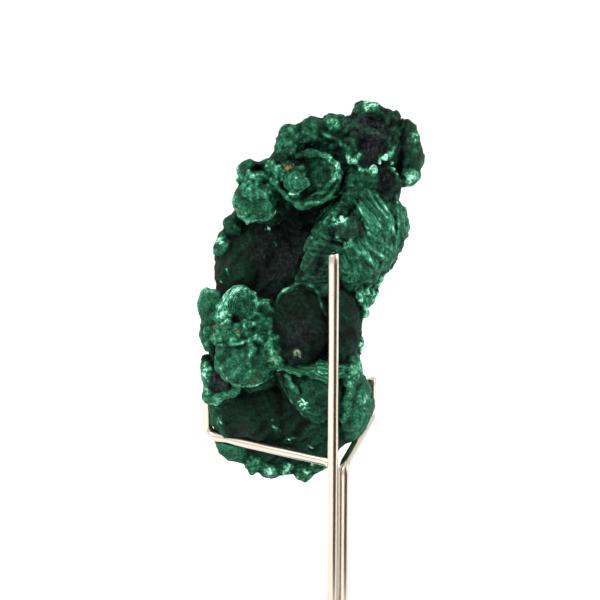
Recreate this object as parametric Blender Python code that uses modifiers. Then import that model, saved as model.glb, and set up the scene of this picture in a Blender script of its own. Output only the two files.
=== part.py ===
"""Malachite specimen resting in a bent-wire display stand.

Metres, +Z up. The origin is the centre of the underside of the stand's base. The specimen's
broad face looks towards -Y, where the stand's straight back post is, and +X is to the right
of someone who looks at that face.
"""

import math

import bmesh
import bpy
from mathutils import Euler, Matrix, Vector

MM = 0.001

# Stand
BASE_RADIUS = 30.0 * MM
BASE_HEIGHT = 5.0 * MM
BASE_EDGE = 0.6 * MM
WIRE_RADIUS = 1.0 * MM
WIRE_SIDES = 12
SOCKET_DEPTH = 3.0 * MM
SOCKET_GAP = 0.12 * MM
POST_XY = (5.0 * MM, -14.0 * MM)
POST_TOP = 94.4 * MM
POST_TIP_BEVEL = 0.25 * MM
ARM_HEIGHT = 52.7 * MM
ARM_BEND_RADIUS = 1.9 * MM
ARM_BEND_STEPS = 5
HOOK_HEIGHT = 8.6 * MM
LEFT_STEM_XY = (5.4 * MM, -11.2 * MM)
LEFT_HOOK_XY = (-19.8 * MM, 5.2 * MM)
RIGHT_STEM_XY = (7.2 * MM, -12.7 * MM)
RIGHT_HOOK_XY = (13.6 * MM, 15.6 * MM)

# Specimen: its lobes are placed in a frame that leans back from the post
STONE_CENTRE = Vector((-1.2, 1.0, 83.75)) * MM
STONE_LEAN = math.radians(14.4)
STONE_VOXEL = 1.6 * MM
REST_GAP = 0.3 * MM
LOBE_SEGMENTS = 24
LOBE_RINGS = 16
RIM_SEGMENTS = 28
RIM_SIDES = 10

# Each lobe: centre x, y, z and half sizes along x, y, z in mm, then its turn in degrees
# about the y axis (clockwise as seen from the post) and its swing about the z axis.
CORE_LOBES = [
    (-4.0, 6.0, 6.0, 12.8, 9.0, 14.0, 0, 0),
    (10.9, -2.0, 9.7, 9.0, 11.0, 12.0, 22, 0),
    (2.0, 3.0, -10.0, 9.2, 12.0, 13.0, 0, 0),
    (-9.0, 3.0, -10.0, 9.5, 8.5, 10.0, 0, 0),
    (2.0, -2.0, 21.0, 8.4, 8.0, 9.0, 0, 0),
    (13.4, -4.0, 25.0, 6.6, 7.0, 8.2, 0, 0),
    (-6.0, -3.0, 17.6, 5.2, 5.0, 5.0, 0, 0),
]
LOWER_LOBES = [
    (-6.0, 10.5, -22.0, 11.4, 9.5, 9.8, 0, 0),
    (-12.0, 11.5, -24.2, 6.0, 6.0, 6.0, 0, 0),
    (2.5, 7.0, -22.0, 9.0, 8.0, 10.5, 0, 0),
    (3.5, 1.0, -21.0, 7.0, 5.0, 7.6, -35, 0),
    (4.0, 5.0, -26.0, 5.5, 6.0, 7.6, 0, 0),
    (9.8, 8.0, -22.5, 4.8, 8.0, 7.4, 0, 0),
    (10.6, 0.6, -21.8, 3.6, 6.2, 6.0, 0, 0),
    (-13.5, 12.5, -31.2, 3.0, 3.0, 2.6, 0, 0),
    (-10.0, 12.5, -33.0, 3.2, 3.2, 2.8, 0, 0),
    (-6.0, 12.0, -34.0, 3.3, 3.4, 3.0, 0, 0),
    (-2.0, 12.0, -34.2, 3.2, 3.2, 2.9, 0, 0),
    (1.4, 11.5, -34.4, 3.0, 3.0, 3.2, 0, 0),
    (4.0, 10.5, -33.0, 2.6, 3.0, 3.0, 0, 0),
]
ROSE_LOBES = [
    (-1.7, -8.0, 27.6, 3.6, 3.6, 3.9, 0, 0),
    (2.1, -8.0, 29.6, 3.0, 3.2, 3.0, 0, 0),
    (7.0, -7.5, 31.0, 3.3, 3.2, 2.4, 0, 0),
    (2.3, -8.5, 21.4, 5.8, 4.0, 5.4, 0, 0),
    (5.0, -6.5, 24.4, 6.2, 3.6, 5.2, 0, 0),
    (-8.7, -8.0, 17.4, 4.2, 2.6, 4.2, 0, -20),
    (-9.2, -6.0, 22.3, 3.2, 3.0, 2.4, 0, 0),
    (-4.6, -7.6, 21.0, 2.8, 2.6, 3.0, 0, 0),
    (-14.4, 1.0, 8.5, 2.4, 3.0, 2.2, 0, 0),
    (-12.8, 0.0, 12.6, 2.2, 3.0, 2.4, 0, 0),
]
CROWN_LOBES = [
    (13.4, -8.0, 33.2, 3.5, 4.0, 2.7, 10, 0),
    (20.6, -5.0, 26.2, 2.4, 5.4, 6.4, -8, 0),
    (10.8, -8.0, 29.8, 3.3, 3.6, 3.4, 0, 0),
    (17.6, -7.5, 20.8, 3.2, 3.6, 3.4, 0, 0),
    (11.7, -9.0, 19.4, 3.8, 3.4, 2.8, 0, 0),
    (16.4, -6.0, 30.0, 3.4, 4.0, 3.0, 0, 0),
]
PLATE_LOBES = [
    (8.2, -12.4, 13.0, 2.9, 2.8, 2.9, 0, 0),
    (6.0, -9.0, 14.0, 3.0, 4.0, 7.4, 32, 0),
    (2.6, -9.4, 6.0, 2.8, 3.8, 7.0, 28, 0),
    (4.0, -7.6, -6.6, 6.6, 5.2, 8.4, 0, 0),
    (1.4, -4.5, -15.0, 5.4, 3.4, 2.0, 0, 0),
    (12.2, -2.0, -1.2, 2.2, 3.4, 3.0, 0, 0),
    (11.0, -1.0, -6.4, 1.9, 3.4, 3.0, 0, 0),
    (10.0, 0.0, -12.4, 2.1, 3.6, 3.4, 0, 0),
]
FLOWER_LOBES = [
    (-17.2, -1.0, -3.6, 2.7, 2.2, 3.5, -12, -25),
    (-11.6, -4.6, -3.4, 3.3, 2.0, 3.8, 0, 0),
    (-7.2, -4.2, -4.2, 2.2, 1.8, 2.4, 10, 15),
    (-16.4, -0.5, -9.0, 3.1, 3.2, 3.2, 0, 0),
    (-6.0, -4.6, -9.2, 3.0, 2.6, 2.8, 0, 0),
    (-4.9, -5.0, -13.0, 2.9, 2.6, 2.7, 0, 0),
    (-12.2, -4.4, -14.2, 5.0, 3.0, 4.6, 0, 0),
    (-15.6, 1.5, -17.8, 3.9, 5.0, 4.3, -20, 0),
]
BACK_LOBES = [
    (-3.0, 11.0, 4.0, 9.0, 7.0, 9.0, 0, 0),
    (8.0, 7.0, 11.0, 8.0, 6.0, 7.6, 0, 0),
    (0.5, 4.5, 20.0, 7.0, 6.0, 7.0, 0, 0),
    (12.5, 3.0, 22.5, 6.4, 5.0, 7.0, 0, 0),
    (-6.0, 13.0, -9.0, 8.0, 7.0, 8.0, 0, 0),
    (4.6, 12.0, -6.0, 6.6, 7.0, 8.0, 0, 0),
    (1.0, 16.5, -20.0, 8.0, 6.0, 8.0, 0, 0),
    (-8.0, 16.0, -24.0, 5.0, 4.0, 5.0, 0, 0),
    (6.6, 15.0, -23.0, 4.6, 5.0, 5.6, 0, 0),
    (9.4, 16.4, -22.4, 4.6, 4.4, 4.8, 10, 0),
    (-8.0, 14.6, 9.0, 4.2, 4.0, 4.0, 0, 0),
    (-1.0, 16.0, 10.0, 4.0, 4.0, 4.2, 0, 0),
    (4.6, 13.4, 6.0, 4.0, 4.0, 4.0, 0, 0),
    (-7.0, 17.4, -1.0, 4.0, 3.6, 4.0, 0, 0),
    (1.0, 17.4, -2.0, 4.2, 3.4, 4.2, 0, 0),
    (9.6, 11.4, 14.0, 4.2, 4.0, 4.4, 0, 0),
    (12.6, 7.6, 6.6, 3.6, 4.2, 3.8, 0, 0),
    (3.0, 9.4, 18.0, 4.0, 4.0, 4.0, 0, 0),
    (-4.2, 8.0, 21.0, 3.6, 3.6, 3.6, 0, 0),
    (7.0, 7.6, 24.0, 4.0, 4.0, 4.0, 0, 0),
    (13.2, 5.6, 27.0, 3.8, 3.6, 4.0, 0, 0),
    (16.4, 4.6, 19.4, 3.4, 4.0, 3.6, 0, 0),
    (-11.0, 14.6, -8.0, 4.0, 4.4, 4.2, 0, 0),
    (-5.0, 18.4, -13.0, 4.2, 3.6, 4.2, 0, 0),
    (4.0, 17.6, -12.0, 4.0, 3.8, 4.0, 0, 0),
    (8.2, 13.6, -12.6, 3.2, 4.0, 4.0, 0, 0),
    (-8.0, 18.6, -20.0, 4.0, 3.4, 4.0, 0, 0),
    (0.0, 21.4, -21.0, 4.4, 3.4, 4.4, 0, 0),
    (5.4, 18.6, -26.4, 3.6, 3.6, 3.8, 0, 0),
    (-3.0, 19.0, -28.6, 4.0, 3.6, 3.6, 0, 0),
    (-13.0, 11.6, 2.6, 3.6, 4.0, 3.8, 0, 0),
    (-14.0, 8.0, -3.0, 3.4, 4.0, 3.6, 0, 0),
]
STONE_LOBES = (CORE_LOBES + LOWER_LOBES + ROSE_LOBES + CROWN_LOBES
               + PLATE_LOBES + FLOWER_LOBES + BACK_LOBES)

# Each rolled rim: centre x, y, z, half width, half height and roll thickness in mm.
STONE_RIMS = [
    (2.3, -11.2, 21.4, 4.5, 4.1, 1.3),
    (-12.2, -6.6, -14.0, 4.0, 3.4, 1.1),
    (13.8, -10.2, 25.8, 3.9, 3.7, 1.5),
]

MALACHITE_GREEN = (0.010, 0.085, 0.045, 1.0)
WIRE_COLOUR = (0.78, 0.72, 0.64, 1.0)
LACQUER_COLOUR = (0.012, 0.012, 0.013, 1.0)


def clear_scene():
    for existing in list(bpy.data.objects):
        bpy.data.objects.remove(existing, do_unlink=True)


def new_collection(name):
    collection = bpy.data.collections.new(name)
    bpy.context.scene.collection.children.link(collection)
    return collection


def new_material(name, colour, roughness, metallic):
    material = bpy.data.materials.new(name)
    material.use_nodes = True
    shader = material.node_tree.nodes["Principled BSDF"]
    shader.inputs["Base Color"].default_value = colour
    shader.inputs["Roughness"].default_value = roughness
    shader.inputs["Metallic"].default_value = metallic
    material.diffuse_color = colour
    return material


def add_object(name, data, collection, material=None):
    item = bpy.data.objects.new(name, data)
    collection.objects.link(item)
    if material is not None:
        data.materials.append(material)
    return item


def make_cutter(item):
    item.hide_render = True
    item.display_type = "WIRE"


def cylinder(name, radius, bottom, top, centre_xy, segments, collection, material=None):
    """An upright closed cylinder between two heights."""
    mesh = bpy.data.meshes.new(name)
    work = bmesh.new()
    bmesh.ops.create_cone(work, cap_ends=True, segments=segments,
                          radius1=radius, radius2=radius, depth=top - bottom)
    work.to_mesh(mesh)
    work.free()
    item = add_object(name, mesh, collection, material)
    item.location = (centre_xy[0], centre_xy[1], (bottom + top) / 2)
    return item


def add_bevel(item, width, segments):
    bevel = item.modifiers.new("edge", "BEVEL")
    bevel.width = width
    bevel.segments = segments
    bevel.limit_method = "ANGLE"


def subtract(item, cutter):
    cut = item.modifiers.new(cutter.name, "BOOLEAN")
    cut.operation = "DIFFERENCE"
    cut.object = cutter


def rounded_route(corners, radius, steps):
    """The corner points joined by straight runs, with an arc of the given radius at each bend."""
    route = [corners[0]]
    for before, corner, after in zip(corners, corners[1:], corners[2:]):
        back = (before - corner).normalized()
        ahead = (after - corner).normalized()
        half_angle = back.angle(ahead) / 2
        setback = radius / math.tan(half_angle)
        middle = corner + (back + ahead).normalized() * radius / math.sin(half_angle)
        start = corner + back * setback - middle
        end = corner + ahead * setback - middle
        for step in range(steps + 1):
            route.append(middle + start.slerp(end, step / steps).normalized() * radius)
    route.append(corners[-1])
    return route


def wire_curve(name, route, radius, collection, material=None):
    """A round wire along the route, with flat ends."""
    curve = bpy.data.curves.new(name, "CURVE")
    curve.dimensions = "3D"
    curve.bevel_depth = radius
    curve.bevel_resolution = (WIRE_SIDES - 4) // 2
    curve.use_fill_caps = True
    spline = curve.splines.new("POLY")
    spline.points.add(len(route) - 1)
    for point, place in zip(spline.points, route):
        point.co = (*place, 1.0)
    return add_object(name, curve, collection, material)


def arm_route(stem_xy, hook_xy):
    """Up from the base, out level along the arm and up again at the hook."""
    corners = [
        Vector((*stem_xy, BASE_HEIGHT - SOCKET_DEPTH)),
        Vector((*stem_xy, ARM_HEIGHT)),
        Vector((*hook_xy, ARM_HEIGHT)),
        Vector((*hook_xy, ARM_HEIGHT + HOOK_HEIGHT)),
    ]
    return rounded_route(corners, ARM_BEND_RADIUS, ARM_BEND_STEPS)


def wire_clearance(name, route, collection):
    """A closed tube a little wider than the wire, which keeps the stone clear of it."""
    curve = wire_curve(name + "_route", route, WIRE_RADIUS + REST_GAP, collection)
    bpy.context.view_layer.update()
    evaluated = curve.evaluated_get(bpy.context.evaluated_depsgraph_get())
    mesh = bpy.data.meshes.new_from_object(evaluated)
    work = bmesh.new()
    work.from_mesh(mesh)
    bmesh.ops.remove_doubles(work, verts=work.verts, dist=0.00001)
    bmesh.ops.recalc_face_normals(work, faces=work.faces)
    work.to_mesh(mesh)
    work.free()
    cutter = add_object(name, mesh, collection)
    cutter.matrix_world = curve.matrix_world
    bpy.data.objects.remove(curve, do_unlink=True)
    make_cutter(cutter)
    return cutter


def build_base(collection, cutters, material):
    base = cylinder("stand_base", BASE_RADIUS, 0.0, BASE_HEIGHT, (0.0, 0.0), 64,
                    collection, material)
    add_bevel(base, BASE_EDGE, 2)
    for label, place in (("post", POST_XY), ("left", LEFT_STEM_XY), ("right", RIGHT_STEM_XY)):
        socket = cylinder(label + "_socket", WIRE_RADIUS + SOCKET_GAP,
                          BASE_HEIGHT - SOCKET_DEPTH - SOCKET_GAP, BASE_HEIGHT + SOCKET_DEPTH,
                          place, 16, cutters)
        make_cutter(socket)
        subtract(base, socket)
    base.data.shade_smooth()
    base.data.set_sharp_from_angle(angle=math.radians(35))
    return base


def build_post(collection, material):
    post = cylinder("back_post", WIRE_RADIUS, BASE_HEIGHT - SOCKET_DEPTH, POST_TOP, POST_XY,
                    WIRE_SIDES, collection, material)
    add_bevel(post, POST_TIP_BEVEL, 2)
    post.data.shade_smooth()
    post.data.set_sharp_from_angle(angle=math.radians(35))
    return post


def add_lobe(work, lobe):
    """One rounded lobe of the stone, in the stone's own frame."""
    x, y, z, half_x, half_y, half_z, turn, swing = lobe
    place = Matrix.Translation(Vector((x, y, z)) * MM)
    spin = Euler((0.0, math.radians(turn), math.radians(swing))).to_matrix().to_4x4()
    size = Matrix.Diagonal((half_x * MM, half_y * MM, half_z * MM, 1.0))
    bmesh.ops.create_uvsphere(work, u_segments=LOBE_SEGMENTS, v_segments=LOBE_RINGS,
                              radius=1.0, matrix=place @ spin @ size)


def add_rim(work, rim):
    """A rolled rim round a hollow: a circle spun about the y axis and stretched to the rim's size."""
    x, y, z, half_width, half_height, roll = rim
    existing = set(work.verts)
    start = bmesh.ops.create_circle(work, segments=RIM_SIDES, radius=roll * MM,
                                    matrix=Matrix.Translation((half_width * MM, 0.0, 0.0)))
    outline = start["verts"] + list({edge for vert in start["verts"] for edge in vert.link_edges})
    bmesh.ops.spin(work, geom=outline, cent=(0.0, 0.0, 0.0), axis=(0.0, 1.0, 0.0),
                   angle=2 * math.pi, steps=RIM_SEGMENTS, use_merge=True)
    ring = [vert for vert in work.verts if vert not in existing]
    place = Matrix.Translation(Vector((x, y, z)) * MM)
    stretch = Matrix.Diagonal((1.0, 1.0, half_height / half_width, 1.0))
    bmesh.ops.transform(work, matrix=place @ stretch, verts=ring)


def build_stone(collection, material, clearances):
    """All the lobes grown together into one closed solid, cleared where the wires touch it."""
    mesh = bpy.data.meshes.new("malachite_specimen")
    work = bmesh.new()
    for lobe in STONE_LOBES:
        add_lobe(work, lobe)
    for rim in STONE_RIMS:
        add_rim(work, rim)
    bmesh.ops.recalc_face_normals(work, faces=work.faces)
    work.to_mesh(mesh)
    work.free()
    stone = add_object("malachite_specimen", mesh, collection, material)
    stone.location = STONE_CENTRE
    stone.rotation_euler = (-STONE_LEAN, 0.0, 0.0)
    grow = stone.modifiers.new("grown_together", "REMESH")
    grow.mode = "VOXEL"
    grow.voxel_size = STONE_VOXEL
    grow.use_smooth_shade = True
    for clearance in clearances:
        subtract(stone, clearance)
    return stone


def main():
    clear_scene()
    parts = new_collection("malachite_specimen_on_stand")
    cutters = new_collection("cutters")
    malachite = new_material("malachite", MALACHITE_GREEN, 0.7, 0.0)
    wire_metal = new_material("nickel_wire", WIRE_COLOUR, 0.25, 1.0)
    lacquer = new_material("black_lacquer", LACQUER_COLOUR, 0.35, 0.0)

    build_base(parts, cutters, lacquer)
    build_post(parts, wire_metal.copy())
    left_route = arm_route(LEFT_STEM_XY, LEFT_HOOK_XY)
    right_route = arm_route(RIGHT_STEM_XY, RIGHT_HOOK_XY)
    wire_curve("left_arm", left_route, WIRE_RADIUS, parts, wire_metal.copy())
    wire_curve("right_arm", right_route, WIRE_RADIUS, parts, wire_metal.copy())
    post_route = [Vector((*POST_XY, BASE_HEIGHT)), Vector((*POST_XY, POST_TOP + REST_GAP))]
    clearances = [
        wire_clearance("post_clearance", post_route, cutters),
        wire_clearance("left_arm_clearance", left_route, cutters),
        wire_clearance("right_arm_clearance", right_route, cutters),
    ]
    build_stone(parts, malachite, clearances)


main()
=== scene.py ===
"""The looks of a malachite specimen that rests in a bent-wire stand.

The specimen is grown in a distance field: rounded lobes, curled bowls and ridges are joined,
hollows are carved out, and the surface is roughened the way each part of the stone grew.
Lengths are in millimetres inside the stone's own frame and in metres everywhere else.
"""

import math

import bpy
import numpy as np
from mathutils import Matrix, Vector


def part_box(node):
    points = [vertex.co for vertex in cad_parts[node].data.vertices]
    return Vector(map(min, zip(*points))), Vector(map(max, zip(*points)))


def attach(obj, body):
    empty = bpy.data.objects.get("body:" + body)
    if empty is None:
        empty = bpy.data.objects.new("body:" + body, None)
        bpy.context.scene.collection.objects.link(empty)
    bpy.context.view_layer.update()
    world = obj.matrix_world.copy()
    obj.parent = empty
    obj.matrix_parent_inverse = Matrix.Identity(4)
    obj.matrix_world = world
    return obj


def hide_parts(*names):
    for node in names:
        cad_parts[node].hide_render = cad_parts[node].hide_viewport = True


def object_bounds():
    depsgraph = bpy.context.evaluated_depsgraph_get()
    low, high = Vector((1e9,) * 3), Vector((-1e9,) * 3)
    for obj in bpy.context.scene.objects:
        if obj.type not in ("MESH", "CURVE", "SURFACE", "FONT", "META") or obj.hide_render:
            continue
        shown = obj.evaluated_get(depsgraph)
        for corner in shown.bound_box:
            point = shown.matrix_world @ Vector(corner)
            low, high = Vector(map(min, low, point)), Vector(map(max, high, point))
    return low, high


MM = 0.001

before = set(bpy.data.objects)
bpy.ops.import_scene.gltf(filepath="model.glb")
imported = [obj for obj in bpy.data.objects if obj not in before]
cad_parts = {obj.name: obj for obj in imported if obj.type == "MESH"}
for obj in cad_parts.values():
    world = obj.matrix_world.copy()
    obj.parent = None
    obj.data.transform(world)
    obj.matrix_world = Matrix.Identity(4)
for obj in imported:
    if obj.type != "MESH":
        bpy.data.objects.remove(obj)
CAD_LOW, CAD_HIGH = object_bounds()
POST_LOW, POST_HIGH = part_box("back_post")
POST_X = (POST_LOW[0] + POST_HIGH[0]) / 2
POST_Y = (POST_LOW[1] + POST_HIGH[1]) / 2
POST_TOP = POST_HIGH[2]
WIRE_RADIUS = (POST_HIGH[0] - POST_LOW[0]) / 2
HOOK_HEIGHT = 8.6 * MM
BEND_RADIUS = 1.9 * MM

# The stone's frame leans back from the post; its origin is placed from the post's tip.
LEAN = math.radians(14.4)
STONE_CENTRE = Vector((POST_X - 6.2 * MM, POST_Y + 15.0 * MM, POST_TOP - 10.65 * MM))
STONE_TURN = Matrix.Rotation(-LEAN, 3, "X")

# Camera
CAMERA_TARGET = Vector((POST_X - 6.2 * MM, POST_Y, POST_TOP - 8.8 * MM))
CAMERA_DISTANCE = 300.0 * MM
SENSOR_WIDTH = 36.0
VIEW_WIDTH = 111.0 * MM

# The stone's field (mm): its front half is grown on a finer grid than its back half
FRONT_STEP = 0.34
BACK_STEP = 0.48
GRID_LOW = (-24.0, -19.0, -41.0)
GRID_HIGH = (27.0, 30.0, 41.0)
FRONT_GRID_BACK = 14.5
BACK_GRID_FRONT = -9.0
SPLIT_PLACE = 1.5
SPLIT_SLOPE = 0.257
SPLIT_OVERLAP = 1.0
FAR = 6.0
NOWHERE = 99.0
SKIN_BAND = 1.9
SHAPE_MARGIN = 2.6
WIRE_GAP = 0.15
SCOOP_DEPTH = 4.0

# How softly a shape runs into the ones before it (mm)
SHARP_BLEND = 0.2
KNOB_BLEND = 0.4
CRUST_BLEND = 0.8
BACK_BLEND = 1.1


# ---------------------------------------------------------------- noise

def scrambled(cells, salt):
    """A repeatable random number from 0 to 1 for each whole-numbered cell."""
    mixed = (cells[..., 0].astype(np.uint32) * np.uint32(73856093)
             ^ cells[..., 1].astype(np.uint32) * np.uint32(19349663)
             ^ cells[..., 2].astype(np.uint32) * np.uint32(83492791)
             ^ np.uint32((salt * 2654435761 + 12345) % 2**32))
    mixed ^= mixed >> np.uint32(15)
    mixed *= np.uint32(2246822519)
    mixed ^= mixed >> np.uint32(13)
    mixed *= np.uint32(3266489917)
    mixed ^= mixed >> np.uint32(16)
    return mixed.astype(np.float64) / 2**32


def soft_noise(points, size, salt=0):
    """Smooth noise from -1 to 1 whose features are about size apart."""
    scaled = points / size
    base = np.floor(scaled).astype(np.int64)
    part = scaled - base
    part = part * part * (3.0 - 2.0 * part)
    total = np.zeros(len(points))
    for corner in range(8):
        offset = np.array((corner & 1, corner >> 1 & 1, corner >> 2 & 1))
        weight = np.prod(np.where(offset == 1, part, 1.0 - part), axis=1)
        total += weight * scrambled(base + offset, salt)
    return total * 2.0 - 1.0


def layered_noise(points, size, layers, salt):
    """Noise of several sizes, each half of the one before it and half as strong."""
    total = np.zeros(len(points))
    strength = 1.0
    for layer in range(layers):
        total += strength * soft_noise(points, size / 2**layer, salt + layer)
        strength *= 0.5
    return total / (2.0 - 2.0 * 0.5**layers)


def nearest_seeds(points, size, salt):
    """Distance to the nearest of a jittered set of seeds about size apart, and a number for it."""
    scaled = points / size
    base = np.floor(scaled).astype(np.int64)
    best = np.full(len(points), NOWHERE)
    label = np.zeros(len(points))
    for offset in np.ndindex(3, 3, 3):
        cells = base + np.array(offset) - 1
        jitter = np.stack([scrambled(cells, salt + axis) for axis in (11, 12, 13)], axis=1)
        away = np.sqrt((((cells + 0.15 + 0.7 * jitter) - scaled) ** 2).sum(axis=1))
        nearer = away < best
        best = np.where(nearer, away, best)
        label = np.where(nearer, scrambled(cells, salt + 14), label)
    return best, label


WAVES = [
    # direction and number of turns per mm, size in mm, which way the points move
    ((0.17, 0.05, 0.12), 0.30, (0.2, 0.6, 0.8)),
    ((-0.08, 0.16, 0.14), 0.30, (0.9, -0.2, 0.3)),
    ((0.11, -0.15, 0.09), 0.28, (-0.3, 0.8, -0.5)),
    ((0.32, 0.14, -0.21), 0.16, (0.5, 0.4, 0.8)),
    ((-0.24, 0.22, 0.30), 0.15, (0.8, 0.1, -0.6)),
    ((0.15, 0.38, 0.26), 0.14, (-0.6, 0.5, 0.6)),
    ((0.52, -0.30, 0.24), 0.09, (0.3, -0.7, 0.7)),
    ((-0.36, -0.44, 0.41), 0.09, (0.7, 0.5, 0.4)),
]


def warped(points):
    """The points moved a little, so that no lobe keeps a perfect outline."""
    shift = np.zeros_like(points)
    for turns, size, way in WAVES:
        wave = np.sin((points @ (np.array(turns) * math.tau)) + size * 40.0)
        shift += size * wave[..., None] * np.array(way)
    return points + shift


# ---------------------------------------------------------------- shapes of the stone

def turned(turn, swing, nod=0.0):
    """A rotation in degrees: turn in the stone's face, then nod up or down, then swing sideways."""
    return (Matrix.Rotation(math.radians(swing), 3, "Z")
            @ Matrix.Rotation(math.radians(nod), 3, "X")
            @ Matrix.Rotation(math.radians(turn), 3, "Y"))


def stretches_of(points, line):
    """For each straight stretch of a line: the points' distance from it and their share along it."""
    for start, end in zip(line, line[1:]):
        run = end - start
        share = np.clip(((points - start) @ run) / (run @ run), 0.0, 1.0)
        yield np.linalg.norm(points - start - share[..., None] * run, axis=-1), share


class Lobe:
    """What every shape has: a place, a reach, and the way its skin grew."""

    scoop = None

    def __init__(self, centre, reach, skin="velvet", tone=0.4, root=None, rim=0.0, bands=0.0):
        self.centre = np.array(centre, dtype=float)
        self.reach = reach
        self.skin = skin
        self.tone = tone
        # rim: strength of a painted sheen, a lighter band just inside the shape's outline
        self.rim = rim
        self.bands = bands
        self.root = self.centre + np.array((0.0, 1.5, 0.0)) if root is None else np.array(root)

    def out_at(self, points):
        """0 in the middle of the shape and 1 at its outline."""
        return np.zeros(len(points))


class Knob(Lobe):
    """An egg-shaped lobe."""

    def __init__(self, x, y, z, half_x, half_y, half_z, turn=0, swing=0, nod=0, **look):
        super().__init__((x, y, z), max(half_x, half_y, half_z), **look)
        self.half = np.array((half_x, half_y, half_z))
        self.axes = np.array(turned(turn, swing, nod))

    def distance(self, points):
        local = (points - self.centre) @ self.axes
        near = np.linalg.norm(local / self.half, axis=-1)
        steep = np.linalg.norm(local / self.half**2, axis=-1)
        return near * (near - 1.0) / np.maximum(steep, 1e-6)

    def out_at(self, points):
        local = (points - self.centre) @ self.axes / self.half
        return np.clip(np.hypot(local[:, 0], local[:, 2]), 0.0, 1.3)


class Bowl(Lobe):
    """A curled shell: a shallow bowl, or a dome when deep is negative, with a rolled and wavy rim."""

    def __init__(self, x, y, z, half_width, half_height, deep, thick, roll,
                 turn=0, swing=0, nod=0, wave=0.0, waves=3, phase=0.0, **look):
        super().__init__((x, y, z), max(half_width, half_height) + roll + abs(deep) + wave, **look)
        self.half = (half_width, half_height)
        self.deep = deep
        self.thick = thick
        self.roll = roll
        self.wave = (wave, waves, phase)
        self.axes = np.array(turned(turn, swing, nod))

    def parts(self, points):
        local = (points - self.centre) @ self.axes
        across = local[..., 0] / self.half[0]
        along = local[..., 2] / self.half[1]
        out = np.hypot(across, along)
        size, waves, phase = self.wave
        ripple = size * np.sin(waves * np.arctan2(along, across) + phase) * np.minimum(out, 1.2) ** 2
        scale = np.hypot(local[..., 0], local[..., 2]) / np.maximum(out, 1e-6)
        sheet = self.deep * (1.0 - np.minimum(out, 1.0) ** 2) + ripple
        return local, out, ripple, scale, sheet

    def distance(self, points):
        local, out, ripple, scale, sheet = self.parts(points)
        slope = 2.0 * self.deep * np.minimum(out, 1.0) / np.mean(self.half)
        beyond = np.maximum(out - 1.0, 0.0) * scale
        shell = np.hypot((local[..., 1] - sheet) / np.sqrt(1.0 + slope**2), beyond) - self.thick / 2
        edge = np.hypot((out - 1.0) * scale, local[..., 1] - ripple) - self.roll
        return np.minimum(shell, edge)

    def scoop(self, points):
        """The open space in front of the shell, which is kept free of the stone behind it."""
        local, out, ripple, scale, sheet = self.parts(points)
        return np.maximum(np.maximum(local[..., 1] - sheet + self.thick / 2, (out - 1.0) * scale),
                          -local[..., 1] - SCOOP_DEPTH)

    def out_at(self, points):
        return np.clip(self.parts(points)[1], 0.0, 1.3)


class Ridge(Lobe):
    """A rounded ridge along a few points, each given as x, y, z and radius."""

    def __init__(self, points, skin="velvet", tone=0.4, **look):
        self.points = np.array(points)
        centre = self.points[:, :3].mean(axis=0)
        reach = (np.linalg.norm(self.points[:, :3] - centre, axis=1) + self.points[:, 3]).max()
        super().__init__(centre, reach, skin=skin, tone=tone, **look)

    def distance(self, points):
        best = np.full(points.shape[:-1], NOWHERE)
        radii = self.points[:, 3]
        stretches = stretches_of(points, self.points[:, :3])
        for (away, share), start, end in zip(stretches, radii, radii[1:]):
            best = np.minimum(best, away - (start + share * (end - start)))
        return best


def beads(places, skin, tone):
    """Round nodules, each given as x, y, z and radius."""
    return [Knob(x, y, z, radius, radius, radius, skin=skin, tone=tone)
            for x, y, z, radius in places]


def knobs_of(skin):
    """A function that makes knobs of one skin from a place, three half sizes and a tone."""
    def knob(x, y, z, half_x, half_y, half_z, tone, **look):
        return Knob(x, y, z, half_x, half_y, half_z, skin=skin, tone=tone, **look)
    return knob


# How each skin is roughened: coarse swell, fine noise, nodule size and height, fibre height (mm)
SKINS = {
    "velvet": {"swell": 0.19, "fine": 0.07, "nodule": 1.3, "height": 0.05, "fibre": 0.06},
    "speckled": {"swell": 0.30, "fine": 0.18, "nodule": 0.95, "height": 0.26, "fibre": 0.10},
    "crust": {"swell": 0.34, "fine": 0.30, "nodule": 1.25, "height": 0.50, "fibre": 0.08},
    "fibrous": {"swell": 0.36, "fine": 0.07, "nodule": 1.4, "height": 0.04, "fibre": 0.50},
    "smooth": {"swell": 0.05, "fine": 0.06, "nodule": 0.8, "height": 0.05, "fibre": 0.0},
}
SKIN_NAMES = list(SKINS)
velvet, speckled, crust, fibrous, smooth = [knobs_of(name) for name in SKIN_NAMES]

# The roots that the fan's fibres run from
UPPER_ROOT = (-4, -6, 36)
SIDE_ROOT = (30, -4, 4)

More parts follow.
